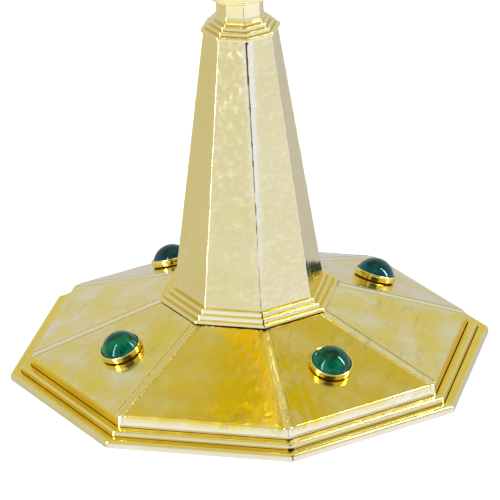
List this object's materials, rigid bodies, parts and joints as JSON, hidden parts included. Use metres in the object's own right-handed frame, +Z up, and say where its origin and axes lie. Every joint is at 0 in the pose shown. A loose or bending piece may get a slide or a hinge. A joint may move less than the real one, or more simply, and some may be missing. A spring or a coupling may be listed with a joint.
{
  "type": "monstrance",
  "caption": "Octagonal sunburst monstrance: stepped foot with green cabochons, tapered hammered stem, knop, and a pull-out glazed luna whose back opens.",
  "frame": {"origin": "centre of the resting face under the foot, on the stem's axis", "axes": "+Z up the stem to the cross; -Y is the side the display's window faces, +Y the side its lid opens to; +X to the right of someone facing the window"},
  "size_m": [0.2808, 0.1848, 0.514],
  "materials": {
    "planished_gilt": "gilt, softly planished, polished",
    "hammered_gilt": "gilt, hand hammered, polished",
    "moulding_gilt": "gilt, polished mouldings",
    "plain_gilt": "gilt, plain polished, deeper gold",
    "ray_gilt": "gilt, filed and polished blades",
    "satin_gilt": "gilt, satin",
    "green_stone": "polished green cabochon",
    "clear_glass": "clear float glass",
    "steel": "zinc-plated steel"
  },
  "bodies": {
    "stand": {"foot_rim": "moulding_gilt", "foot_shell": "planished_gilt", "clamp_plate": "plain_gilt", "tie_rod": "steel", "rod_washer": "steel", "rod_nut": "steel", "stem_collar": "moulding_gilt", "stem_shell": "hammered_gilt", "neck_collar": "moulding_gilt", "neck_column": "moulding_gilt", "knop_lower_collar": "moulding_gilt", "knop_lower_shell": "hammered_gilt", "knop_band": "moulding_gilt", "knop_upper_shell": "hammered_gilt", "knop_upper_collar": "moulding_gilt", "upper_stem": "hammered_gilt", "socket_collar": "moulding_gilt", "display_socket": "moulding_gilt", "foot_bezel_front_right": "plain_gilt", "foot_bezel_rear_right": "plain_gilt", "foot_bezel_rear_left": "plain_gilt", "foot_bezel_front_left": "plain_gilt", "foot_stone_front_right": "green_stone", "foot_stone_rear_right": "green_stone", "foot_stone_rear_left": "green_stone", "foot_stone_front_left": "green_stone", "foot_bezel_nuts": "steel", "knop_bezels": "plain_gilt", "knop_stones": "green_stone", "frame_rim": "moulding_gilt", "frame_panel": "planished_gilt", "frame_collar": "moulding_gilt", "frame_sleeve": "plain_gilt", "back_plate": "satin_gilt", "frame_bezels": "plain_gilt", "frame_stones": "green_stone", "frame_screws": "steel", "tang_screws": "steel", "long_rays": "ray_gilt", "middle_rays": "ray_gilt", "side_rays": "ray_gilt", "cross_foot": "ray_gilt", "cross": "ray_gilt", "cross_bezel": "plain_gilt", "cross_stone": "green_stone"},
    "luna": {"luna_barrel": "moulding_gilt", "front_glass": "clear_glass", "front_glass_ring": "plain_gilt", "lunette_socket": "plain_gilt", "luna_pull": "plain_gilt", "lid_hinge_pin": "steel"},
    "luna_lid": {"lid_frame": "moulding_gilt", "rear_glass": "clear_glass", "lid_glass_ring": "plain_gilt", "lid_tab": "plain_gilt"},
    "lunette": {"lunette_crescent": "moulding_gilt", "jaw_pin": "steel"},
    "lunette_jaw_body": {"lunette_jaw": "moulding_gilt"}
  },
  "joints": [
    {"name": "luna_slide", "type": "slide", "parent": "stand", "child": "luna", "axis": [0, 1, 0], "range_m": [0, 0.06]},
    {"name": "lid_hinge", "type": "hinge", "parent": "luna", "child": "luna_lid", "pos_m": [-0.0515, 0.0142, 0.36411], "axis": [0, 0, 1], "range_deg": [0, 110]},
    {"name": "lunette_lift", "type": "slide", "parent": "luna", "child": "lunette", "axis": [0, 0, 1], "range_m": [0, 0.005]},
    {"name": "jaw_hinge", "type": "hinge", "parent": "lunette", "child": "lunette_jaw_body", "pos_m": [0, 0.0014, 0.32771], "axis": [-1, 0, 0], "range_deg": [0, 25]}
  ]
}
